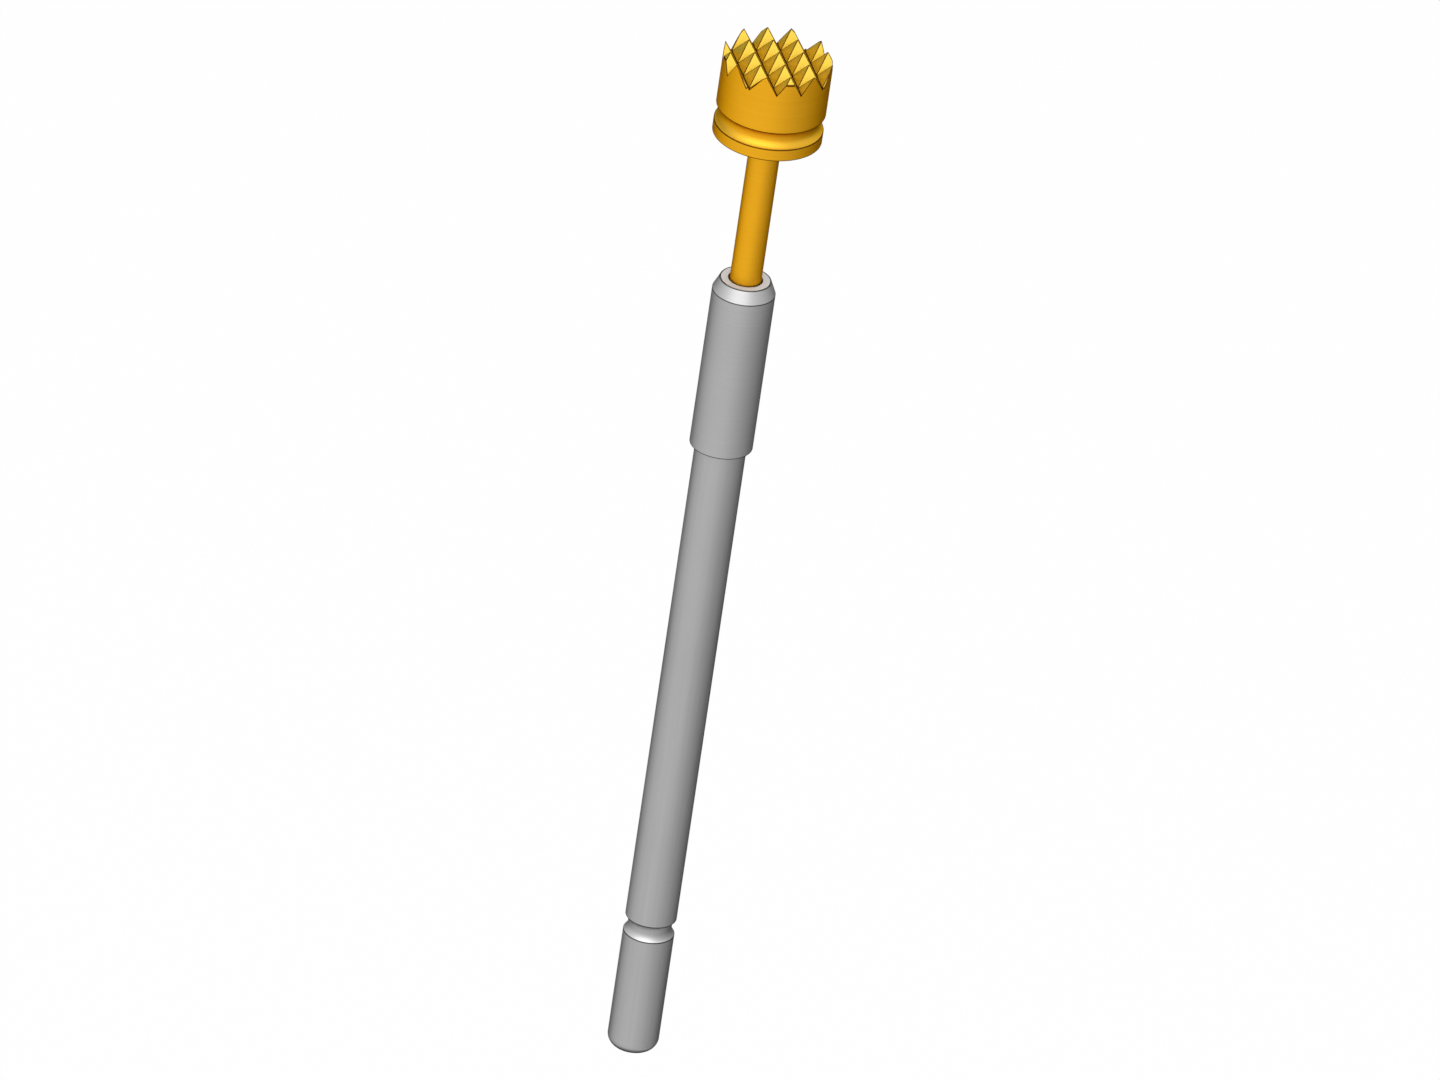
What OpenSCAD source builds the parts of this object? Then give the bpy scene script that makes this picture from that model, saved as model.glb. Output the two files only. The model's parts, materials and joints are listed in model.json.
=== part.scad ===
// Spring-loaded contact pin with a serrated head, closed barrel and stop collar.
// The origin is on the axis at the underside of the stop collar; +Z points to the head.

/* [Contact head] */
// Diameter of the serrated head and of the flange under it
head_d = 2.9; // [1.8:0.05:3.6]
// Height of the head, from its lower edge to the tooth tips
head_h = 1.64; // [1.2:0.02:2.4]
// Distance from one tooth tip to the next
tooth_pitch = 0.66; // [0.4:0.01:0.9]
// Included angle of the V that is milled between two rows of teeth
tooth_angle = 63; // [50:1:90]
// Width of the flat that is left on each tooth tip
tooth_flat = 0.016; // [0.01:0.002:0.06]
// Width of the turned groove between the head and its flange
neck_w = 0.49; // [0.3:0.01:0.8]
// Depth of that groove
neck_d = 0.16; // [0.05:0.01:0.24]
// Thickness of the flange
flange_t = 0.33; // [0.15:0.01:0.8]

/* [Plunger rod] */
// Diameter of the rod
rod_d = 0.84; // [0.6:0.01:0.92]
// Length of bare rod between the collar and the flange
rod_out = 4.36; // [3:0.02:6]
// Length of the guide shank inside the barrel
guide_l = 3.6; // [3:0.1:6]
// Length of each bearing land at the ends of the guide shank
land_l = 0.9; // [0.4:0.05:1.4]
// Diameter of the relief between the two lands
waist_d = 0.86; // [0.6:0.01:0.96]
// Included angle of the conical seat for the thrust ball
seat_angle = 120; // [100:1:140]
// Width of the flat rim round that seat
seat_rim = 0.1; // [0.05:0.01:0.18]

/* [Barrel] */
// Outer diameter of the drawn tube
barrel_d = 1.37; // [1.3:0.01:1.5]
// Wall thickness of the drawn tube
wall_t = 0.16; // [0.1:0.01:0.18]
// Length of the tube, from its mouth to its closed end
barrel_l = 23.4; // [20:0.1:30]
// Outer radius where the wall turns into the closed end
end_r = 0.34; // [0.25:0.01:0.5]
// Thickness of the lip that is rolled in over the plunger's shoulder
lip_t = 0.2; // [0.12:0.01:0.4]
// Height of the rolled groove's middle above the closed end
bead_up = 3.76; // [2:0.005:5]
// Width of the rolled groove
bead_w = 0.475; // [0.35:0.005:0.7]
// Depth of the rolled groove, and of the bead that it raises inside
bead_d = 0.1; // [0.08:0.005:0.16]

/* [Stop collar] */
// Outer diameter of the collar
collar_d = 1.68; // [1.6:0.01:1.9]
// Length of the collar
collar_l = 5; // [2:0.1:8]
// Height of the lead-in bevel at the collar's top, which ends level with the tube's outside
bevel_h = 0.35; // [0.1:0.01:0.8]
// Radius that the tube loses under the collar, so that the collar wedges on as it is pressed down
seat_taper = 0.01; // [0.005:0.001:0.02]

/* [Spring and ball] */
// Diameter of the spring wire
wire_d = 0.16; // [0.1:0.01:0.18]
// Number of free turns between the two closed end turns
free_turns = 32; // [20:1:44]

/* [Fits] */
// Radial clearance of the guide shank in the bore, and of the rod in the lip
slide_gap = 0.02; // [0.01:0.005:0.03]
// Radial clearance of the spring in the bore
spring_gap = 0.035; // [0.02:0.005:0.06]
// Radial clearance of the thrust ball in the bore
ball_gap = 0.075; // [0.05:0.005:0.1]
// Gap left between parts that rest on each other
rest_gap = 0.02; // [0.01:0.005:0.04]

/* [Hidden] */

turn_steps = 96;
arc_steps = 10;
coil_steps = 12;
wire_sides = 8;
margin = 0.5;

head_r = head_d / 2;
rod_r = rod_d / 2;
barrel_r = barrel_d / 2;
collar_r = collar_d / 2;
bore_r = barrel_r - wall_t;
mouth_r = barrel_r - seat_taper;
lip_r = rod_r + slide_gap;
guide_r = bore_r - slide_gap;
wire_r = wire_d / 2;
coil_r = bore_r - spring_gap - wire_r;
ball_r = bore_r - ball_gap;

// Heights along the axis, from the collar's underside
mouth_z = collar_l;
tail_z = mouth_z - barrel_l;
bead_z = tail_z + bead_up;
flange_z = mouth_z + rod_out;
neck_z = flange_z + flange_t;
head_z = neck_z + neck_w;
tip_z = head_z + head_h;
shoulder_z = mouth_z - lip_t - rest_gap;
guide_z = shoulder_z - guide_l;

// The ball rests in its cone, the spring's top turn on the ball
seat_r = guide_r - seat_rim;
seat_tip_z = guide_z + seat_r / tan(seat_angle / 2);
ball_z = seat_tip_z - (ball_r + rest_gap) / sin(seat_angle / 2);
coil_top_z = ball_z - sqrt(pow(ball_r + wire_r + rest_gap, 2) - pow(coil_r, 2));

// The spring's bottom turn rests on the bead, whose section is an arc about [bead_centre, bead_z]
bead_r = arc_radius(bead_w, bead_d);
bead_centre = barrel_r - bead_d + bead_r;
bead_reach = bead_r + wall_t + wire_r + rest_gap;
coil_foot_z = bead_z + sqrt(pow(bead_reach, 2) - pow(bead_centre - coil_r, 2));

// Radius of the arc that is w wide and d deep
function arc_radius(w, d) = (w * w / 4 + d * d) / (2 * d);

// Points [radius, height] on an arc about c, from angle a0 to angle a1
function arc(c, r, a0, a1) = [
    for (k = [0:arc_steps])
        let (a = a0 + (a1 - a0) * k / arc_steps)
            c + r * [cos(a), sin(a)]
];

// Section of a round-bottomed groove in a shaft of radius r, from its upper edge down
function groove(r, mid_z, w, d) =
    let (ra = arc_radius(w, d), half = asin(w / 2 / ra))
        arc([r - d + ra, mid_z], ra, 180 - half, 180 + half);

// Section of the bead inside the tube, from its lower edge up
function bead() =
    let (ra = bead_r + wall_t, half = acos((bead_centre - bore_r) / ra))
        arc([bead_centre, bead_z], ra, 180 + half, 180 - half);

module turned(section) {
    rotate_extrude($fn = turn_steps) polygon(section);
}

// A block whose top is folded into ridges along Y, one tooth pitch apart
module ridges() {
    rows = ceil(head_r / tooth_pitch) + 1;
    flat = tooth_flat / 2;
    valley_z = tip_z - (tooth_pitch / 2 - flat) / tan(tooth_angle / 2);
    side = (rows + 0.5) * tooth_pitch;
    top = [
        for (k = [-rows:rows])
            let (x = k * tooth_pitch)
                each [[x - tooth_pitch / 2, valley_z], [x - flat, tip_z], [x + flat, tip_z]]
    ];
    base_z = guide_z - margin;
    rotate([90, 0, 0])
        linear_extrude(height = 2 * side, center = true)
            polygon(concat([[-side, base_z]], top, [[side, valley_z], [side, base_z]]));
}

// The head, rod and guide shank are turned as one piece, and the teeth are milled across it twice
module plunger() {
    section = concat(
        [[0, seat_tip_z], [seat_r, guide_z], [guide_r, guide_z]],
        [[guide_r, guide_z + land_l], [waist_d / 2, guide_z + land_l]],
        [[waist_d / 2, shoulder_z - land_l], [guide_r, shoulder_z - land_l]],
        [[guide_r, shoulder_z], [rod_r, shoulder_z], [rod_r, flange_z]],
        [[head_r, flange_z]],
        [for (p = groove(head_r, 0, neck_w, neck_d)) [p[0], neck_z + neck_w / 2 - p[1]]],
        [[head_r, tip_z + margin], [0, tip_z + margin]]
    );
    color("goldenrod") intersection() {
        turned(section);
        ridges();
        rotate([0, 0, 90]) ridges();
    }
}

// A deep-drawn tube with a rounded closed end, a rolled groove, a slightly tapered seat
// for the collar and a lip rolled in at the mouth
module barrel() {
    inner_end_r = end_r - wall_t;
    section = concat(
        [[lip_r, mouth_z], [mouth_r, mouth_z], [barrel_r, 0]],
        groove(barrel_r, bead_z, bead_w, bead_d),
        arc([barrel_r - end_r, tail_z + end_r], end_r, 0, -90),
        [[0, tail_z], [0, tail_z + wall_t]],
        arc([bore_r - inner_end_r, tail_z + end_r], inner_end_r, -90, 0),
        bead(),
        [[bore_r, mouth_z - lip_t], [lip_r, mouth_z - lip_t]]
    );
    color("darkgray") turned(section);
}

// A sleeve wedged on the tube's tapered seat, flush with its mouth
module stop_collar() {
    section = [
        [barrel_r, 0],
        [collar_r, 0],
        [collar_r, mouth_z - bevel_h],
        [barrel_r, mouth_z],
        [mouth_r, mouth_z]
    ];
    color("silver") turned(section);
}

module thrust_ball() {
    color("gainsboro")
        translate([0, 0, ball_z])
            sphere(r = ball_r, $fn = turn_steps);
}

// Height of the wire's centre after t turns: a closed turn, the free turns, a closed turn
closed_pitch = wire_d + rest_gap;
free_pitch = (coil_top_z - coil_foot_z - 2 * closed_pitch) / free_turns;
all_turns = free_turns + 2;
function coil_z(t) =
    t < 1 ? coil_foot_z + t * closed_pitch
    : t > all_turns - 1 ? coil_top_z - (all_turns - t) * closed_pitch
    : coil_foot_z + closed_pitch + (t - 1) * free_pitch;

// A helical compression spring, swept as rings of points about the wire's centre line
module spring() {
    rings = all_turns * coil_steps;
    slope = atan(free_pitch / (360 * coil_r * PI / 180));
    points = [
        for (i = [0:rings])
            let (t = i / coil_steps, a = 360 * t)
                for (j = [0:wire_sides - 1])
                    let (
                        b = 360 * (j + 0.5) / wire_sides,
                        out = coil_r + wire_r * cos(b),
                        up = wire_r * sin(b)
                    )
                        [
                            out * cos(a) + up * sin(slope) * sin(a),
                            out * sin(a) - up * sin(slope) * cos(a),
                            coil_z(t) + up * cos(slope)
                        ]
    ];
    sides = [
        for (i = [0:rings - 1])
            for (j = [0:wire_sides - 1])
                let (
                    a = i * wire_sides + j,
                    b = i * wire_sides + (j + 1) % wire_sides
                )
                    each [[a, b, b + wire_sides], [a, b + wire_sides, a + wire_sides]]
    ];
    first = [for (j = [0:wire_sides - 1]) wire_sides - 1 - j];
    last = [for (j = [0:wire_sides - 1]) rings * wire_sides + j];
    color("lightsteelblue") polyhedron(points, concat([first], sides, [last]));
}

barrel();
stop_collar();
plunger();
thrust_ball();
spring();
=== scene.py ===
# Spring-loaded contact pin with a serrated head: the finished pieces, their metals and a small studio
import json
import math

import bpy
import numpy as np
from mathutils import Matrix, Vector

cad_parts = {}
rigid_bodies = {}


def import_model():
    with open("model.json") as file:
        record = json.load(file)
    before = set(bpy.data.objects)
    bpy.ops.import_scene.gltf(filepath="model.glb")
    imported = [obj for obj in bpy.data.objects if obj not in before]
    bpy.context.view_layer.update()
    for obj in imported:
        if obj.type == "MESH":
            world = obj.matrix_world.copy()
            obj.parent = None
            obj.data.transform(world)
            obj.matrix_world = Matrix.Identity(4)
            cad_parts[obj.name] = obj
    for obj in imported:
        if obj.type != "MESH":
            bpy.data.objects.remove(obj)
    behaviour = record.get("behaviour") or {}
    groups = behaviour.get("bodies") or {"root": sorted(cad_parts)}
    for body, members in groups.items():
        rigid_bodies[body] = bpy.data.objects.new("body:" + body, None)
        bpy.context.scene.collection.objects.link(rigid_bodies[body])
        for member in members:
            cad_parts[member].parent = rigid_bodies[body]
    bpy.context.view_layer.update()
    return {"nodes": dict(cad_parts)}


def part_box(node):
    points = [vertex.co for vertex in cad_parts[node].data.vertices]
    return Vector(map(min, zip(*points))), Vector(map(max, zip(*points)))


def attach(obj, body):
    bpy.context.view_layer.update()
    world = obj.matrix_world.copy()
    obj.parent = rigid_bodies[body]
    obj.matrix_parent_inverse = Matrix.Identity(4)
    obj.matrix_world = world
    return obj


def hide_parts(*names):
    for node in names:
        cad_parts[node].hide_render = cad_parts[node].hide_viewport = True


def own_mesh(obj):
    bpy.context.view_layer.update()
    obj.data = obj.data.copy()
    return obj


for leftover in list(bpy.data.objects):
    bpy.data.objects.remove(leftover)

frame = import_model()
scene = bpy.context.scene
mm = 0.001
print("frame loaded:", ", ".join(sorted(frame["nodes"])))

barrelLow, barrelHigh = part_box("barrel")
collarLow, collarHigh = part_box("stop_collar")
plungerLow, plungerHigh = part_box("plunger")
ballLow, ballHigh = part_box("thrust_ball")
springLow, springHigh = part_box("spring")


def addNode(tree, kind, settings=None, inputs=None):
    # an input takes a plain value, a socket, or a node, whose first output is then meant;
    # a colour Mix has its factor at 0, its colours at 6 and 7 and its result at 2
    made = tree.nodes.new(kind)
    for name, value in (settings or {}).items():
        setattr(made, name, value)
    for key, value in (inputs or {}).items():
        if isinstance(value, bpy.types.Node):
            value = value.outputs[0]
        if isinstance(value, bpy.types.NodeSocket):
            tree.links.new(value, made.inputs[key])
        else:
            made.inputs[key].default_value = value
    return made


def linearColour(hexCode):
    parts = [int(hexCode[k : k + 2], 16) / 255 for k in (1, 3, 5)]
    return [p / 12.92 if p <= 0.04045 else ((p + 0.055) / 1.055) ** 2.4 for p in parts] + [1]


def emptyTree(owner):
    # the node tree of a material or world, cleared
    owner.use_nodes = True
    owner.node_tree.nodes.clear()
    return owner.node_tree


uprightBelow = 0.3  # a face whose normal rises less than this stands upright


def finishMetal(name, look):
    # tone, roughness and relief follow the tool marks, and a painted highlight on upward faces and painted
    # shade on the edges are laid over the tone; colours are hex codes, sizes are in mm
    material = bpy.data.materials.new(name)
    material.diffuse_color = linearColour(look["light"])
    tree = emptyTree(material)
    coordinates = addNode(tree, "ShaderNodeTexCoord").outputs
    place = addNode(tree, "ShaderNodeSeparateXYZ", None, {0: coordinates["Object"]}).outputs
    facing = addNode(tree, "ShaderNodeSeparateXYZ", None, {0: coordinates["Normal"]}).outputs
    if look["marks"] == "lengthwise":
        # as wide as the spacing round the tube, and drawn out along it
        squeeze = (1, 1, 1 / look["stretch"])
        grain = addNode(
            tree,
            "ShaderNodeVectorMath",
            {"operation": "MULTIPLY"},
            {0: coordinates["Object"], 1: squeeze},
        )
    else:
        # rings round the axis: the pattern depends on radius and height alone
        flat = addNode(
            tree,
            "ShaderNodeVectorMath",
            {"operation": "MULTIPLY"},
            {0: coordinates["Object"], 1: (1, 1, 0)},
        )
        around = addNode(tree, "ShaderNodeVectorMath", {"operation": "LENGTH"}, {0: flat}).outputs["Value"]
        if look["marks"] == "turned and milled":
            # the cutter's marks on a tooth run level along its V, so the radius drops out there
            upright = addNode(
                tree,
                "ShaderNodeMath",
                {"operation": "LESS_THAN"},
                {0: facing["Z"], 1: uprightBelow},
            )
            around = addNode(tree, "ShaderNodeMath", {"operation": "MULTIPLY"}, {0: around, 1: upright})
        grain = addNode(tree, "ShaderNodeCombineXYZ", None, {"X": around, "Z": place["Z"]})
    marks = addNode(
        tree,
        "ShaderNodeTexNoise",
        None,
        {"Vector": grain, "Scale": 1 / (look["spacing"] * mm), "Detail": 3, "Roughness": 0.6},
    )
    clouds = addNode(
        tree,
        "ShaderNodeTexNoise",
        None,
        {"Vector": coordinates["Object"], "Scale": 1 / (look["cloud"] * mm), "Detail": 2},
    )
    drift = addNode(tree, "ShaderNodeMath", {"operation": "MULTIPLY_ADD"}, {0: clouds, 1: 0.5, 2: -0.25})
    tone = addNode(tree, "ShaderNodeMath", {"operation": "ADD", "use_clamp": True}, {0: marks, 1: drift})
    spread = addNode(tree, "ShaderNodeMapRange", None, {"Value": tone, "From Min": 0.25, "From Max": 0.75})
    colour = addNode(
        tree,
        "ShaderNodeMix",
        {"data_type": "RGBA"},
        {0: spread, 6: linearColour(look["dark"]), 7: linearColour(look["light"])},
    )
    if "paintedHighlight" in look:
        # painted highlight: faces that slope upwards get a paler tone, as if lit from above
        start, full = look["highlightSlopes"]
        share = addNode(
            tree,
            "ShaderNodeMapRange",
            None,
            {"Value": facing["Z"], "From Min": start, "From Max": full},
        )
        if "lowBelow" in look:
            # a height in m, below which lowShare of the painted highlight counts, and all of it 1 mm higher
            high = addNode(
                tree,
                "ShaderNodeMapRange",
                None,
                {
                    "Value": place["Z"],
                    "From Min": look["lowBelow"],
                    "From Max": look["lowBelow"] + mm,
                    "To Min": look["lowShare"],
                    "To Max": 1.0,
                },
            )
            share = addNode(tree, "ShaderNodeMath", {"operation": "MULTIPLY"}, {0: share, 1: high})
        colour = addNode(
            tree,
            "ShaderNodeMix",
            {"data_type": "RGBA"},
            {0: share, 6: colour.outputs[2], 7: linearColour(look["paintedHighlight"])},
        )
    if "edge" in look:
        # painted shade: a dark edge tone painted on the mesh, 1 on a broken edge, 0 on plain faces
        painted = addNode(tree, "ShaderNodeAttribute", {"attribute_name": "edgeShadeTone"}).outputs["Fac"]
        share = addNode(
            tree,
            "ShaderNodeMath",
            {"operation": "MULTIPLY"},
            {0: painted, 1: look["edgeShadeShare"]},
        )
        colour = addNode(
            tree,
            "ShaderNodeMix",
            {"data_type": "RGBA"},
            {0: share, 6: colour.outputs[2], 7: linearColour(look["edge"])},
        )
    low, high = look["rough"]
    rough = addNode(
        tree,
        "ShaderNodeMapRange",
        None,
        {"Value": tone, "From Min": 0.2, "From Max": 0.8, "To Min": low, "To Max": high},
    )
    if "mattEnds" in look:
        # level end faces are cut off square and stay matt
        level = addNode(
            tree,
            "ShaderNodeMapRange",
            None,
            {"Value": facing["Z"], "From Min": 0.9, "From Max": 0.98},
        )
        rough = addNode(
            tree,
            "ShaderNodeMix",
            {"data_type": "FLOAT"},
            {0: level, 2: rough.outputs[0], 3: look["mattEnds"]},
        )
    relief = addNode(
        tree,
        "ShaderNodeBump",
        None,
        {"Strength": look["bump"], "Distance": look["depth"] * mm, "Height": marks},
    )
    shader = addNode(
        tree,
        "ShaderNodeBsdfPrincipled",
        None,
        {
            "Base Color": colour.outputs[2],
            "Metallic": 1.0,
            "Roughness": rough,
            "Specular Tint": linearColour(look["rim"]),
            "Normal": relief,
        },
    )
    addNode(tree, "ShaderNodeOutputMaterial", None, {"Surface": shader})
    return material


# Deep-drawn nickel silver: die lines run along the tube and give a soft satin sheen.
# Real lines are about 0.01 mm apart; they are drawn 0.07 mm apart so that they show.
drawnNickelSilver = finishMetal(
    "drawnNickelSilver",
    dict(
        light="#B6B6B6",
        dark="#AEAEAE",
        # painted highlight: the paler tone on faces that slope upwards
        paintedHighlight="#DCDCDC",
        highlightSlopes=(0.1, 0.8),
        # painted shade: the dark tone laid on broken edges, and how much of it
        edge="#282828",
        edgeShadeShare=0.9,
        rim="#000000",
        marks="lengthwise",
        spacing=0.07,
        stretch=60,
        cloud=2.5,
        rough=(0.44, 0.52),
        mattEnds=0.85,
        bump=0.25,
        depth=0.002,
    ),
)
# Turned nickel silver: a 0.05 mm feed leaves fine rings that catch a little more light.
turnedNickelSilver = finishMetal(
    "turnedNickelSilver",
    dict(
        light="#B8B8B8",
        dark="#AEAEAE",
        # painted highlight: the paler tone on faces that slope upwards
        paintedHighlight="#C2C2C2",
        highlightSlopes=(0.2, 0.4),
        # painted shade: the dark tone laid on broken edges, and how much of it
        edge="#282828",
        edgeShadeShare=0.9,
        rim="#000000",
        marks="rings",
        spacing=0.06,
        cloud=2.5,
        rough=(0.44, 0.52),
        mattEnds=0.85,
        bump=0.25,
        depth=0.002,
    ),
)
# Hard gold plate over turned and milled copper alloy: warm and even, with faint tool marks
# under the plate. The marks are drawn 0.06 mm apart so that they show.
hardGoldPlate = finishMetal(
    "hardGoldPlate",
    dict(
        light="#EEAF24",
        dark="#E6A61E",
        # painted highlight: the paler tone on faces that slope upwards, weaker below the teeth
        paintedHighlight="#E5C54D",
        highlightSlopes=(0.1, 0.5),
        lowBelow=plungerHigh.z - 1.6 * mm,
        lowShare=0.35,
        # painted shade: the dark tone laid on broken edges, and how much of it
        edge="#3A1E02",
        edgeShadeShare=0.9,
        rim="#100C04",
        marks="turned and milled",
        spacing=0.06,
        cloud=1.5,
        rough=(0.42, 0.5),
        bump=0.25,
        depth=0.002,
    ),
)
# Lapped bearing steel: close to a mirror, so only a trace of grain.
lappedBearingSteel = finishMetal(
    "lappedBearingSteel",
    dict(
        light="#D4D6D8",
        dark="#CACCCE",
        rim="#FFFFFF",
        marks="rings",
        spacing=0.05,
        cloud=0.4,
        rough=(0.08, 0.14),
        bump=0.05,
        depth=0.0005,
    ),
)
# Hard-drawn music wire: dull grey with draw marks from the die.
drawnMusicWire = finishMetal(
    "drawnMusicWire",
    dict(
        light="#9C9D9F",
        dark="#858689",
        rim="#FFFFFF",
        marks="rings",
        spacing=0.03,
        cloud=0.4,
        rough=(0.28, 0.42),
        bump=0.15,
        depth=0.001,
    ),
)
print("metals made")


def arcPoints(centre, radius, start, end, steps):
    angles = [math.radians(start + (end - start) * k / steps) for k in range(steps + 1)]
    return [(centre[0] + radius * math.cos(a), centre[1] + radius * math.sin(a), 0) for a in angles]


def grooveArc(shaftRadius, middle, width, depth, edge, steps=16):
    # corners of a round-bottomed groove from its lower edge up
    radius = (width * width / 4 + depth * depth) / (2 * depth)
    half = math.degrees(math.asin(width / 2 / radius))
    corners = arcPoints((shaftRadius - depth + radius, middle), radius, 180 + half, 180 - half, steps)
    corners[0] = (*corners[0][:2], edge)
    corners[-1] = (*corners[-1][:2], edge)
    return corners, radius


def softenCorners(corners, band=0.01, fade=0.004, steps=4, arcShare=0.45, bandShare=0.4):
    # corners are (radius, height, edge break) in mm; a broken one becomes a small arc, and it and
    # a narrow band on both sides carry the painted edge shade. An arc takes up at most arcShare of the
    # shorter side, and a band and its fade each at most bandShare of what is left.
    section = []
    for index, (radius, height, edge) in enumerate(corners):
        here = Vector((radius, height))
        if not edge:
            section.append((radius, height, 0.0))
            continue
        towards = [Vector(corners[k % len(corners)][:2]) - here for k in (index - 1, index + 1)]
        lengths = [t.length for t in towards]
        towards = [t.normalized() for t in towards]
        half = towards[0].angle(towards[1]) / 2
        reach = min(edge / math.tan(half), arcShare * min(lengths))
        centre = here + (towards[0] + towards[1]).normalized() * reach / math.cos(half)
        arms = [here + t * reach - centre for t in towards]
        turn = arms[0].angle_signed(arms[1])
        bands = [reach + min(band, bandShare * (length - reach)) for length in lengths]
        fades = [b + min(fade, bandShare * (length - b)) for b, length in zip(bands, lengths)]
        section += [(*(here + towards[0] * fades[0]), 0.0), (*(here + towards[0] * bands[0]), 1.0)]
        for k in range(steps + 1):
            arm = arms[0].copy()
            arm.rotate(Matrix.Rotation(-turn * k / steps, 2))
            section.append((*(centre + arm), 1.0))
        section += [(*(here + towards[1] * bands[1]), 1.0), (*(here + towards[1] * fades[1]), 0.0)]
    return section


nearAxis = 1e-6  # mm; a point of a section that is nearer than this lies on the axis


def turnSection(name, section, steps, material):
    # a section that starts and ends on the axis closes at its poles, any other closes on itself
    mesh = bpy.data.meshes.new(name)
    vertices, tones, rows = [], [], []
    for radius, height, tone in section:
        count = 1 if radius < nearAxis else steps
        rows.append([len(vertices) + (k if count > 1 else 0) for k in range(steps)])
        for k in range(count):
            angle = 2 * math.pi * k / steps
            vertices.append((radius * mm * math.cos(angle), radius * mm * math.sin(angle), height * mm))
            tones.append(tone)
    faces = []
    onAxis = section[0][0] < nearAxis
    for low, high in zip(rows, rows[1:] if onAxis else rows[1:] + rows[:1]):
        for k in range(steps):
            corners = [low[k], low[(k + 1) % steps], high[(k + 1) % steps], high[k]]
            faces.append(list(dict.fromkeys(corners)))
    mesh.from_pydata(vertices, [], faces)
    mesh.attributes.new("edgeShadeTone", "FLOAT", "POINT").data.foreach_set("value", tones)
    mesh.materials.append(material)
    piece = bpy.data.objects.new(name, mesh)
    scene.collection.objects.link(piece)
    return piece


def pointOutwards(mesh):
    # the signed volume says which way round the faces are
    mesh.calc_loop_triangles()
    points = np.empty(len(mesh.vertices) * 3)
    mesh.vertices.foreach_get("co", points)
    corners = np.empty(len(mesh.loop_triangles) * 3, int)
    mesh.loop_triangles.foreach_get("vertices", corners)
    a, b, c = points.reshape(-1, 3)[corners].reshape(-1, 3, 3).transpose(1, 0, 2)
    if np.einsum("ij,ij->", a, np.cross(b, c)) < 0:
        mesh.flip_normals()


def finishPiece(piece, body, nodeName, sharpAngle=30):
    pointOutwards(piece.data)
    piece.data.shade_smooth()
    piece.data.set_sharp_from_angle(angle=math.radians(sharpAngle))
    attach(piece, body)
    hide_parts(nodeName)
    print("made", piece.name, "with", len(piece.data.polygons), "faces")


def newTree(name, inputs, result):
    # a Geometry Nodes tree with named inputs and one geometry output
    tree = bpy.data.node_groups.new(name, "GeometryNodeTree")
    for label, kind in inputs:
        tree.interface.new_socket(label, in_out="INPUT", socket_type="NodeSocket" + kind)
    tree.interface.new_socket(result, in_out="OUTPUT", socket_type="NodeSocketGeometry")
    return tree


def closeTree(tree, geometry, finish):
    # the export drops instances, so they are made real before the finish is set
    realized = addNode(tree, "GeometryNodeRealizeInstances", None, {0: geometry})
    finished = addNode(tree, "GeometryNodeSetMaterial", None, {"Geometry": realized, "Material": finish})
    addNode(tree, "NodeGroupOutput", None, {0: finished})


def applyTree(piece, tree, values):
    # the tree's result becomes the piece's own plain mesh
    modifier = piece.modifiers.new(tree.name, "NODES")
    modifier.node_group = tree
    for item in tree.interface.items_tree:
        if item.in_out == "INPUT" and item.name in values:
            modifier[item.identifier] = values[item.name]
    graph = bpy.context.evaluated_depsgraph_get()
    shaped = piece.evaluated_get(graph)
    result = bpy.data.meshes.new_from_object(shaped, preserve_all_data_layers=True, depsgraph=graph)
    piece.modifiers.clear()
    piece.data = result
    result.name = piece.name


# Tube: sizes in mm that the boxes don't give
tube = dict(
    wall=0.16,
    endRadius=0.34,
    lip=0.2,
    lipRadius=0.44,
    seatTaper=0.01,
    grooveUp=3.76,
    grooveWidth=0.475,
    grooveDepth=0.1,
    edge=0.014,
    # painted shade: the closed end's underside is darkened with the edge tone
    paintedEndShade=[(0, 0.4), (0.05, 0.95), (0.16, 0.65), (0.25, 0.0)],  # height above the end, share of the edge tone
    steps=192,
    bendSteps=16,
    innerBendSteps=8,
)


def makeBarrel():
    outer, tail, mouth = barrelHigh.x / mm, barrelLow.z / mm, barrelHigh.z / mm
    bore, innerEnd = outer - tube["wall"], tube["endRadius"] - tube["wall"]
    seat = collarLow.z / mm
    edge, bends = tube["edge"], tube["bendSteps"]
    middle, bendHeight = tail + tube["grooveUp"], tail + tube["endRadius"]
    groove, grooveRadius = grooveArc(outer, middle, tube["grooveWidth"], tube["grooveDepth"], edge)
    # the groove raises a bead inside, a wall's thickness further from the same centre
    beadRadius = grooveRadius + tube["wall"]
    beadCentre = outer - tube["grooveDepth"] + grooveRadius
    beadHalf = math.degrees(math.acos((beadCentre - bore) / beadRadius))
    corners = [
        (0, tail, 0),
        *arcPoints((outer - tube["endRadius"], bendHeight), tube["endRadius"], -90, 0, bends),
        *groove,
        (outer, seat, 0),
        (outer - tube["seatTaper"], mouth, edge),
        (tube["lipRadius"], mouth, edge),
        (tube["lipRadius"], mouth - tube["lip"], edge),
        (bore, mouth - tube["lip"], 0),
        *arcPoints((beadCentre, middle), beadRadius, 180 - beadHalf, 180 + beadHalf, bends),
        *arcPoints((bore - innerEnd, bendHeight), innerEnd, 0, -90, tube["innerBendSteps"]),
        (0, tail + tube["wall"], 0),
    ]
    # painted shade: the bend round the closed end gets the dark edge tone, strongest low down and fading out
    # upwards
    above, shares = zip(*tube["paintedEndShade"])
    section = []
    for radius, height, tone in softenCorners(corners):
        section.append((radius, height, max(tone, np.interp(height - tail, above, shares))))
    piece = turnSection("barrelTube", section, tube["steps"], drawnNickelSilver)
    finishPiece(piece, "barrel", "barrel")


makeBarrel()

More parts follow.
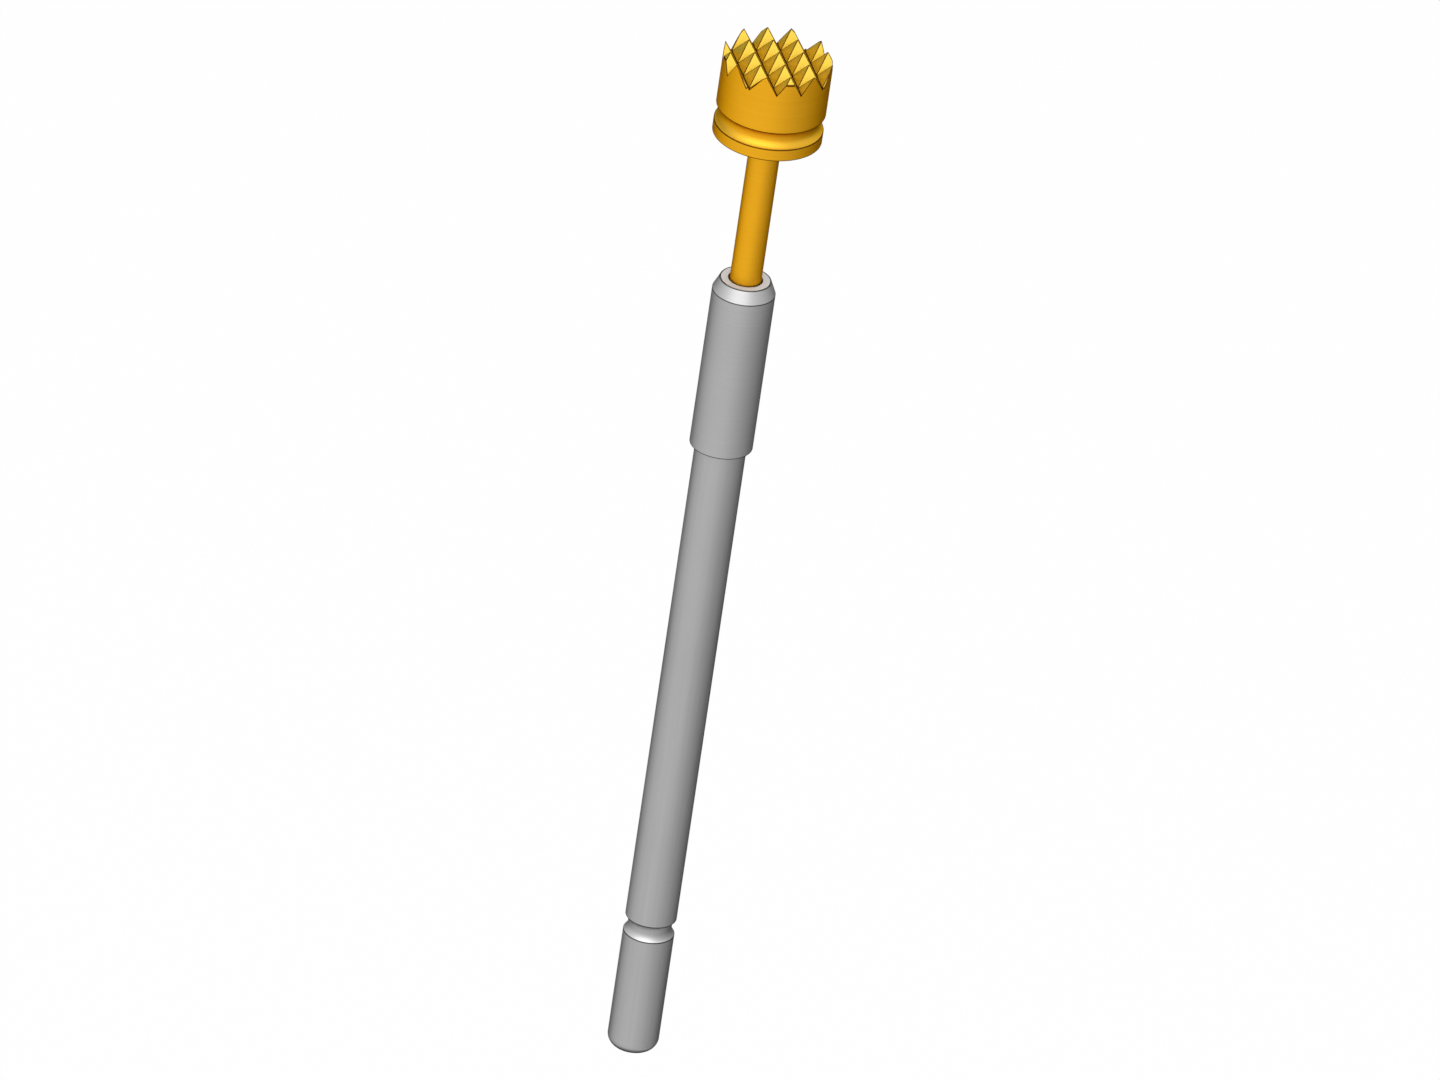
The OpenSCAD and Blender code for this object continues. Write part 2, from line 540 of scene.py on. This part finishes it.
# Collar: pressed on the tube's mouth, flush with it
collar = dict(bevel=0.35, edge=0.014, rimEdge=0.006, steps=192)


def makeCollar():
    outer, low, high = collarHigh.x / mm, collarLow.z / mm, collarHigh.z / mm
    inner = barrelHigh.x / mm
    corners = [
        (inner, low, 0),
        (outer, low, collar["edge"]),
        (outer, high - collar["bevel"], collar["edge"]),
        (inner, high, collar["rimEdge"]),
        (inner - tube["seatTaper"], high, 0),
    ]
    piece = turnSection("stopCollar", softenCorners(corners), collar["steps"], turnedNickelSilver)
    finishPiece(piece, "barrel", "stop_collar")


makeCollar()

# Plunger: head, rod and guide shank turned in one, then the teeth are milled across the head
plunger = dict(
    rodRadius=0.42,
    headHeight=1.64,
    neckWidth=0.49,
    neckDepth=0.16,
    flange=0.33,
    guide=3.6,
    guideRadius=0.505,
    land=0.9,
    waistRadius=0.43,
    seatAngle=120,
    seatRadius=0.405,
    edge=0.014,
    belowVs=0.04,  # a ring of points this far under the Vs keeps the cuts out of the wall below
    sharpAngle=25,
    steps=192,
)
teeth = dict(
    pitch=0.66,
    angle=63,
    flat=0.016,
    rows=3,  # of V cuts on each side of the middle tooth
    reach=2.0,  # from the axis to a cut's end
    spare=0.01,  # of a cutter above the tips
    hipLine=0.02,  # this and the next three are how far a painted shade line reaches from its edge
    veeLine=0.016,
    rimLine=0.02,
    sideLine=0.026,
    # painted shade: the colour of the crease lines and how much of it is laid on
    shadeLineColour="#562200",
    shadeLineShare=0.92,
)


def paintCreaseShade(material):
    # painted shade: thin dark lines in the Vs, on the teeth's hips and where the Vs run out at the side
    tree = material.node_tree
    shader = next(node for node in tree.nodes if node.type == "BSDF_PRINCIPLED")
    coordinates = addNode(tree, "ShaderNodeTexCoord").outputs
    place = addNode(tree, "ShaderNodeSeparateXYZ", None, {0: coordinates["Object"]}).outputs
    facing = addNode(tree, "ShaderNodeSeparateXYZ", None, {0: coordinates["Normal"]}).outputs
    half, lean = teeth["pitch"] / 2 * mm, math.radians(teeth["angle"] / 2)
    known = dict(x=place["X"], y=place["Y"], z=place["Z"], rise=facing["Z"])
    for name, operation, *terms in [
        ("across", "PINGPONG", "x", half),  # 0 at a tip, half a pitch in a V
        ("along", "PINGPONG", "y", half),
        ("furthest", "MAXIMUM", "across", "along"),
        ("lead", "SUBTRACT", "across", "along"),
        ("apart", "ABSOLUTE", "lead"),
        ("hip", "LESS_THAN", "apart", teeth["hipLine"] * mm),
        ("vee", "GREATER_THAN", "furthest", half - teeth["veeLine"] * mm),
        ("xx", "MULTIPLY", "x", "x"),
        ("xxyy", "MULTIPLY_ADD", "y", "y", "xx"),
        ("out", "SQRT", "xxyy"),
        ("rim", "GREATER_THAN", "out", plungerHigh.x - teeth["rimLine"] * mm),
        ("hipOrVee", "MAXIMUM", "hip", "vee"),
        ("topLine", "MAXIMUM", "hipOrVee", "rim"),
        ("onTeeth", "COMPARE", "rise", math.sin(lean), 0.1),  # the face leans as a tooth does
        ("toothLine", "MULTIPLY", "topLine", "onTeeth"),
        # the side's own edge follows the height to which the teeth are milled there
        ("offTip", "SUBTRACT", "furthest", teeth["flat"] / 2 * mm),
        ("raised", "MULTIPLY_ADD", "offTip", 1 / math.tan(lean), "z"),
        ("sideEdge", "COMPARE", "raised", plungerHigh.z, teeth["sideLine"] * mm),
        ("steepness", "ABSOLUTE", "rise"),
        ("onSide", "LESS_THAN", "steepness", uprightBelow),
        ("sideLine", "MULTIPLY", "sideEdge", "onSide"),
        ("line", "MAXIMUM", "toothLine", "sideLine"),
        ("high", "GREATER_THAN", "z", plungerHigh.z - teeth["pitch"] * mm),
        ("highLine", "MULTIPLY", "line", "high"),
        ("share", "MULTIPLY", "highLine", teeth["shadeLineShare"]),
    ]:
        values = {k: known.get(term, term) for k, term in enumerate(terms)}
        known[name] = addNode(tree, "ShaderNodeMath", {"operation": operation}, values)
    plain = shader.inputs["Base Color"].links[0].from_socket
    lined = addNode(
        tree,
        "ShaderNodeMix",
        {"data_type": "RGBA"},
        {0: known["share"], 6: plain, 7: linearColour(teeth["shadeLineColour"])},
    )
    tree.links.new(lined.outputs[2], shader.inputs["Base Color"])


# painted shade in the teeth's creases
paintCreaseShade(hardGoldPlate)


def serrationTree():
    # V cutters in a row, then the same row a quarter turn round, taken out of the turned blank
    inputs = [
        ("Blank", "Geometry"),
        ("Tooth Pitch", "Float"),
        ("Tooth Angle", "Float"),
        ("Tip Flat", "Float"),
        ("Tip Height", "Float"),
        ("Cuts", "Int"),
        ("Cut Length", "Float"),
        ("Cutter Spare", "Float"),
        ("Finish", "Material"),
    ]
    tree = newTree("milledSerration", inputs, "Serrated")
    known = {socket.name: socket for socket in addNode(tree, "NodeGroupInput").outputs}
    for name, operation, *terms in [
        ("halfAngle", "MULTIPLY", "Tooth Angle", 0.5),
        ("slope", "TANGENT", "halfAngle"),
        ("opening", "SUBTRACT", "Tooth Pitch", "Tip Flat"),
        ("halfOpening", "MULTIPLY", "opening", 0.5),
        ("depth", "DIVIDE", "halfOpening", "slope"),
        ("cutterHeight", "ADD", "depth", "Cutter Spare"),
        ("halfWidth", "MULTIPLY", "cutterHeight", "slope"),
        ("cutterWidth", "MULTIPLY", "halfWidth", 2.0),
        ("top", "ADD", "Tip Height", "Cutter Spare"),
        ("middleZ", "MULTIPLY_ADD", "cutterHeight", -0.5, "top"),
        # the first V lies half a pitch off the last tip on that side
        ("steps", "SUBTRACT", "Cuts", 1.0),
        ("rowLength", "MULTIPLY", "steps", "Tooth Pitch"),
        ("firstX", "MULTIPLY", "rowLength", -0.5),
    ]:
        values = {k: known.get(term, term) for k, term in enumerate(terms)}
        known[name] = addNode(tree, "ShaderNodeMath", {"operation": operation}, values)
    size = addNode(
        tree,
        "ShaderNodeCombineXYZ",
        None,
        {0: known["cutterWidth"], 1: known["Cut Length"], 2: known["cutterHeight"]},
    )
    block = addNode(tree, "GeometryNodeMeshCube", None, {"Size": size})
    place = addNode(tree, "GeometryNodeInputPosition")
    height = addNode(tree, "ShaderNodeSeparateXYZ", None, {0: place}).outputs["Z"]
    isLow = addNode(tree, "FunctionNodeCompare", {"operation": "LESS_THAN"}, {0: height, 1: 0.0})
    folded = addNode(tree, "ShaderNodeVectorMath", {"operation": "MULTIPLY"}, {0: place, 1: (0, 1, 1)})
    wedge = addNode(
        tree,
        "GeometryNodeSetPosition",
        None,
        {"Geometry": block, "Selection": isLow, "Position": folded},
    )
    cutter = addNode(tree, "GeometryNodeMergeByDistance", None, {"Geometry": wedge, "Distance": 1e-7})
    start = addNode(tree, "ShaderNodeCombineXYZ", None, {0: known["firstX"], 2: known["middleZ"]})
    step = addNode(tree, "ShaderNodeCombineXYZ", None, {0: known["Tooth Pitch"]})
    line = addNode(
        tree,
        "GeometryNodeMeshLine",
        None,
        {"Count": known["Cuts"], "Start Location": start, "Offset": step},
    )
    row = addNode(tree, "GeometryNodeInstanceOnPoints", None, {"Points": line, "Instance": cutter})
    alongY = addNode(tree, "GeometryNodeRealizeInstances", None, {0: row})
    alongX = addNode(
        tree,
        "GeometryNodeTransform",
        None,
        {"Geometry": alongY, "Rotation": (0, 0, math.pi / 2)},
    )
    cut = known["Blank"]
    for cutters in (alongY, alongX):
        cut = addNode(
            tree,
            "GeometryNodeMeshBoolean",
            {"operation": "DIFFERENCE", "solver": "EXACT"},
            {"Mesh 1": cut, "Mesh 2": cutters},
        )
    closeTree(tree, cut, known["Finish"])
    return tree


def makePlunger():
    outer, tip, bottom = plungerHigh.x / mm, plungerHigh.z / mm, plungerLow.z / mm
    head = tip - plunger["headHeight"]
    neck = head - plunger["neckWidth"]
    flange = neck - plunger["flange"]
    shoulder = bottom + plunger["guide"]
    seatTip = bottom + plunger["seatRadius"] / math.tan(math.radians(plunger["seatAngle"] / 2))
    edge, land, neckWidth = plunger["edge"], plunger["land"], plunger["neckWidth"]
    groove, _ = grooveArc(outer, neck + neckWidth / 2, neckWidth, plunger["neckDepth"], edge)
    valley = tip - (teeth["pitch"] - teeth["flat"]) / 2 / math.tan(math.radians(teeth["angle"] / 2))
    corners = [
        (0, seatTip, 0),
        (plunger["seatRadius"], bottom, edge),
        (plunger["guideRadius"], bottom, edge),
        (plunger["guideRadius"], bottom + land, edge),
        (plunger["waistRadius"], bottom + land, 0),
        (plunger["waistRadius"], shoulder - land, 0),
        (plunger["guideRadius"], shoulder - land, edge),
        (plunger["guideRadius"], shoulder, edge),
        (plunger["rodRadius"], shoulder, 0),
        (plunger["rodRadius"], flange, 0),
        (outer, flange, edge),
        *groove,
        (outer, valley - plunger["belowVs"], 0),
        (outer, tip, 0),
        (0, tip, 0),
    ]
    piece = turnSection("serratedPlunger", softenCorners(corners), plunger["steps"], hardGoldPlate)
    pointOutwards(piece.data)  # the cutters need the blank's faces the right way round
    sizes = {
        "Tooth Pitch": teeth["pitch"] * mm,
        "Tooth Angle": math.radians(teeth["angle"]),
        "Tip Flat": teeth["flat"] * mm,
        "Tip Height": tip * mm,
        "Cuts": 2 * teeth["rows"],
        "Cut Length": 2 * teeth["reach"] * mm,
        "Cutter Spare": teeth["spare"] * mm,
        "Finish": hardGoldPlate,
    }
    applyTree(piece, serrationTree(), sizes)
    finishPiece(piece, "plunger", "plunger", plunger["sharpAngle"])


makePlunger()

# Ball: hidden in the tube
ball = dict(steps=64)


def makeBall():
    radius, middle = (ballHigh.z - ballLow.z) / 2 / mm, (ballHigh.z + ballLow.z) / 2 / mm
    corners = arcPoints((0, middle), radius, -90, 90, ball["steps"] // 2)
    corners[0], corners[-1] = (0, middle - radius, 0), (0, middle + radius, 0)  # the poles lie on the axis
    piece = turnSection("thrustBall", corners, ball["steps"], lappedBearingSteel)
    finishPiece(piece, "ball", "thrust_ball")


makeBall()

# Spring: hidden in the tube; the wire's centre lies a little less than its radius inside the box
coil = dict(
    wire=0.16,
    gap=0.02,
    fromEnds=0.0736,
    fromSides=0.074,
    freeTurns=32,
    stepsPerTurn=32,
    wireSteps=12,
)


def coilTree():
    # one closed turn, the free turns and one closed turn: a ring curve raised by its turn count
    inputs = [
        ("Coil Radius", "Float"),
        ("Wire Radius", "Float"),
        ("Foot Height", "Float"),
        ("Closed Pitch", "Float"),
        ("Free Pitch", "Float"),
        ("Free Turns", "Float"),
        ("Steps Per Turn", "Int"),
        ("Wire Steps", "Int"),
        ("Finish", "Material"),
    ]
    tree = newTree("compressionCoil", inputs, "Coil")
    known = {socket.name: socket for socket in addNode(tree, "NodeGroupInput").outputs}
    known["along"] = addNode(tree, "GeometryNodeSplineParameter").outputs["Factor"]
    for name, operation, *terms in [
        ("turns", "ADD", "Free Turns", 2.0),
        ("turn", "MULTIPLY", "along", "turns"),
        ("lowTurn", "MINIMUM", "turn", 1.0),
        ("pastLow", "SUBTRACT", "turn", 1.0),
        ("aboveLow", "MAXIMUM", "pastLow", 0.0),
        ("freeTurn", "MINIMUM", "aboveLow", "Free Turns"),
        ("pastFree", "SUBTRACT", "pastLow", "Free Turns"),
        ("topTurn", "MAXIMUM", "pastFree", 0.0),
        ("closedTurns", "ADD", "lowTurn", "topTurn"),
        ("freeRise", "MULTIPLY_ADD", "freeTurn", "Free Pitch", "Foot Height"),
        ("rise", "MULTIPLY_ADD", "closedTurns", "Closed Pitch", "freeRise"),
    ]:
        values = {k: known.get(term, term) for k, term in enumerate(terms)}
        known[name] = addNode(tree, "ShaderNodeMath", {"operation": operation}, values)
    rings = addNode(
        tree,
        "GeometryNodeCurveSpiral",
        None,
        {
            "Resolution": known["Steps Per Turn"],
            "Rotations": known["turns"],
            "Start Radius": known["Coil Radius"],
            "End Radius": known["Coil Radius"],
            "Height": 0.0,
            "Reverse": True,  # a right-hand spring
        },
    )
    lift = addNode(tree, "ShaderNodeCombineXYZ", None, {2: known["rise"]})
    raised = addNode(tree, "GeometryNodeSetPosition", None, {"Geometry": rings, "Offset": lift})
    wire = addNode(
        tree,
        "GeometryNodeCurvePrimitiveCircle",
        None,
        {"Resolution": known["Wire Steps"], "Radius": known["Wire Radius"]},
    )
    swept = addNode(
        tree,
        "GeometryNodeCurveToMesh",
        None,
        {"Curve": raised, "Profile Curve": wire, "Fill Caps": True},
    )
    closeTree(tree, swept, known["Finish"])
    return tree


def makeSpring():
    closedPitch = (coil["wire"] + coil["gap"]) * mm
    foot, top = springLow.z + coil["fromEnds"] * mm, springHigh.z - coil["fromEnds"] * mm
    piece = bpy.data.objects.new("coilSpring", bpy.data.meshes.new("coilSpring"))
    scene.collection.objects.link(piece)
    sizes = {
        "Coil Radius": springHigh.x - coil["fromSides"] * mm,
        "Wire Radius": coil["wire"] / 2 * mm,
        "Foot Height": foot,
        "Closed Pitch": closedPitch,
        "Free Pitch": (top - foot - 2 * closedPitch) / coil["freeTurns"],
        "Free Turns": float(coil["freeTurns"]),
        "Steps Per Turn": coil["stepsPerTurn"],
        "Wire Steps": coil["wireSteps"],
        "Finish": drawnMusicWire,
    }
    applyTree(piece, coilTree(), sizes)
    finishPiece(piece, "barrel", "spring")
    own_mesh(piece)


makeSpring()

# Studio: angles in degrees, sizes in mm; the aim is measured from the collar's underside
studio = dict(
    azimuth=-17.3,
    elevation=29.2,
    roll=8.46,
    aimHeight=-2.870,
    aimRight=0.344,
    distance=1051.3,
    lens=1000,
    sensor=36,
    clip=(0.01, 20),  # m
    floorDrop=42,
    floorSize=6000,
    paper="#F4F4F4",
    paperGlow=0.98,
    roomLight=0.6,
)
white = linearColour("#FFFFFF")
azimuth, elevation, roll = (math.radians(studio[k]) for k in ("azimuth", "elevation", "roll"))
levelRight = Vector((math.cos(azimuth), math.sin(azimuth), 0))
levelAway = Vector((-math.sin(azimuth), math.cos(azimuth), 0))
backwards = Vector((0, 0, math.sin(elevation))) - levelAway * math.cos(elevation)
floorHeight = barrelLow.z / mm - studio["floorDrop"]


def studioPlace(right, away, up):
    # from the collar's underside as the camera sees it: to its right, away from it, up
    return (levelRight * right + levelAway * away + Vector((0, 0, up))) * mm


def placeCamera():
    steepUp = backwards.cross(levelRight)
    right = levelRight * math.cos(roll) + steepUp * math.sin(roll)
    up = steepUp * math.cos(roll) - levelRight * math.sin(roll)
    data = bpy.data.cameras.new("studioCamera")
    data.lens, data.sensor_width = studio["lens"], studio["sensor"]
    data.clip_start, data.clip_end = studio["clip"]
    camera = bpy.data.objects.new("studioCamera", data)
    place = studioPlace(studio["aimRight"], 0, studio["aimHeight"]) + backwards * studio["distance"] * mm
    axes = Matrix((right, up, backwards)).transposed()
    camera.matrix_world = Matrix.Translation(place) @ axes.to_4x4()
    scene.collection.objects.link(camera)
    scene.camera = camera


placeCamera()


def seenDirectly(tree):
    # 1 for camera, glossy and transmission rays, which see the paper and the room as white
    path = addNode(tree, "ShaderNodeLightPath").outputs
    both = addNode(
        tree,
        "ShaderNodeMath",
        {"operation": "ADD"},
        {0: path["Is Camera Ray"], 1: path["Is Glossy Ray"]},
    )
    return addNode(
        tree,
        "ShaderNodeMath",
        {"operation": "ADD", "use_clamp": True},
        {0: both, 1: path["Is Transmission Ray"]},
    )


def makeFloor():
    half, height = studio["floorSize"] / 2 * mm, floorHeight * mm
    mesh = bpy.data.meshes.new("studioFloor")
    corners = [(-half, -half, height), (half, -half, height), (half, half, height), (-half, half, height)]
    mesh.from_pydata(corners, [], [(0, 1, 2, 3)])
    floor = bpy.data.objects.new("studioFloor", mesh)
    scene.collection.objects.link(floor)
    # pale paper: a little of it stays paper to direct rays too, so that it keeps the shadow
    material = bpy.data.materials.new("paleStudioPaper")
    tree = emptyTree(material)
    paper = addNode(tree, "ShaderNodeBsdfDiffuse", None, {"Color": linearColour(studio["paper"])})
    glow = addNode(tree, "ShaderNodeEmission", None, {"Color": white, "Strength": 1.0})
    share = addNode(
        tree,
        "ShaderNodeMath",
        {"operation": "MULTIPLY"},
        {0: seenDirectly(tree), 1: studio["paperGlow"]},
    )
    mixed = addNode(tree, "ShaderNodeMixShader", None, {0: share, 1: paper, 2: glow})
    addNode(tree, "ShaderNodeOutputMaterial", None, {"Surface": mixed})
    mesh.materials.append(material)


makeFloor()


def makeWorld():
    world = bpy.data.worlds.new("paleRoom")
    scene.world = world
    tree = emptyTree(world)
    room = addNode(tree, "ShaderNodeBackground", None, {"Color": white, "Strength": studio["roomLight"]})
    seen = addNode(tree, "ShaderNodeBackground", None, {"Color": white, "Strength": 1.0})
    mixed = addNode(tree, "ShaderNodeMixShader", None, {0: seenDirectly(tree), 1: room, 2: seen})
    addNode(tree, "ShaderNodeOutputWorld", None, {"Surface": mixed})


makeWorld()

lamps = dict(
    front=dict(place=(-25, -95, 95), size=180, power=0.13),
    back=dict(place=(0, 80, 130), size=140, power=0.06),
)


def addLamps():
    for name, lamp in lamps.items():
        data = bpy.data.lights.new(name, "AREA")
        data.size, data.energy = lamp["size"] * mm, lamp["power"]
        light = bpy.data.objects.new(name, data)
        light.location = studioPlace(*lamp["place"])
        light.rotation_euler = (-light.location).to_track_quat("-Z", "Y").to_euler()
        scene.collection.objects.link(light)


addLamps()


def scrimCloth():
    # black gauze whose density is painted on the sheet
    material = bpy.data.materials.new("gradedScrim")
    tree = emptyTree(material)
    density = addNode(tree, "ShaderNodeAttribute", {"attribute_name": "scrimDensity"}).outputs["Fac"]
    clear = addNode(tree, "ShaderNodeBsdfTransparent")
    cloth = addNode(tree, "ShaderNodeBsdfDiffuse", None, {"Color": linearColour("#101010")})
    mixed = addNode(tree, "ShaderNodeMixShader", None, {0: density, 1: clear, 2: cloth})
    addNode(tree, "ShaderNodeOutputMaterial", None, {"Surface": mixed})
    return material


def hangSheet(name, vertices, densities, faces, material):
    # a sheet that only shows in the metal
    mesh = bpy.data.meshes.new(name)
    mesh.from_pydata(vertices, [], faces)
    mesh.attributes.new("scrimDensity", "FLOAT", "POINT").data.foreach_set("value", densities)
    mesh.materials.append(material)
    sheet = bpy.data.objects.new(name, mesh)
    scene.collection.objects.link(sheet)
    sheet.visible_camera = sheet.visible_diffuse = sheet.visible_shadow = sheet.visible_transmission = False


# Graded scrims stand round the sides and back and give a round bar its darker sides. Density
# goes with the angle round the pin in degrees, 0 towards the camera and right positive.
scrims = dict(
    right=dict(
        stops=[
            (8, 0.05),
            (33, 0.19),
            (49, 0.3),
            (68, 0.4),
            (88, 0.52),
            (114, 0.65),
            (150, 0.78),
            (172, 0.78),
        ],
        high=12,
    ),
    left=dict(
        stops=[(-60, 0.0), (-88, 0.09), (-114, 0.27), (-150, 0.66), (-172, 0.78)],
        high=12,
    ),
    upperRear=dict(
        stops=[(-80, 0.0), (-100, 0.45), (-150, 0.65), (-180, 0.4), (-215, 0.25), (-250, 0.0)],
        low=12,
        high=55,
    ),
)
sheets = dict(radius=40, steps=48, offFloor=1)


def hangScrims(material):
    for side, scrim in scrims.items():
        low = scrim.get("low", floorHeight + sheets["offFloor"])
        stops = sorted(scrim["stops"])
        places = np.linspace(scrim["stops"][0][0], scrim["stops"][-1][0], sheets["steps"] + 1)
        densities = np.interp(places, *zip(*stops))
        vertices = []
        for angle in np.radians(places):
            right, away = sheets["radius"] * math.sin(angle), -sheets["radius"] * math.cos(angle)
            vertices += [studioPlace(right, away, low), studioPlace(right, away, scrim["high"])]
        faces = [(2 * k, 2 * k + 2, 2 * k + 3, 2 * k + 1) for k in range(sheets["steps"])]
        hangSheet(side + "Scrim", vertices, np.repeat(densities, 2), faces, material)


# A dark card on the floor below and behind gives the closed end its dark underside;
# its rings are (radius, density) from the middle out.
card = dict(behind=36, rings=[(0.1, 1.0), (24, 1.0), (31, 0.0)])


def layCard(material):
    vertices, densities, faces = [], [], []
    height, steps = floorHeight + sheets["offFloor"], sheets["steps"]
    for radius, density in card["rings"]:
        for angle in np.linspace(0, 2 * math.pi, steps, endpoint=False):
            away = card["behind"] + radius * math.cos(angle)
            vertices.append(studioPlace(radius * math.sin(angle), away, height))
            densities.append(density)
    for ring in range(len(card["rings"]) - 1):
        for k in range(steps):
            a, b = ring * steps + k, ring * steps + (k + 1) % steps
            faces.append((a, b, b + steps, a + steps))
    hangSheet("floorCard", vertices, densities, faces, material)


gauze = scrimCloth()
hangScrims(gauze)
layCard(gauze)

scene.view_settings.view_transform = "Standard"
print("studio lit")
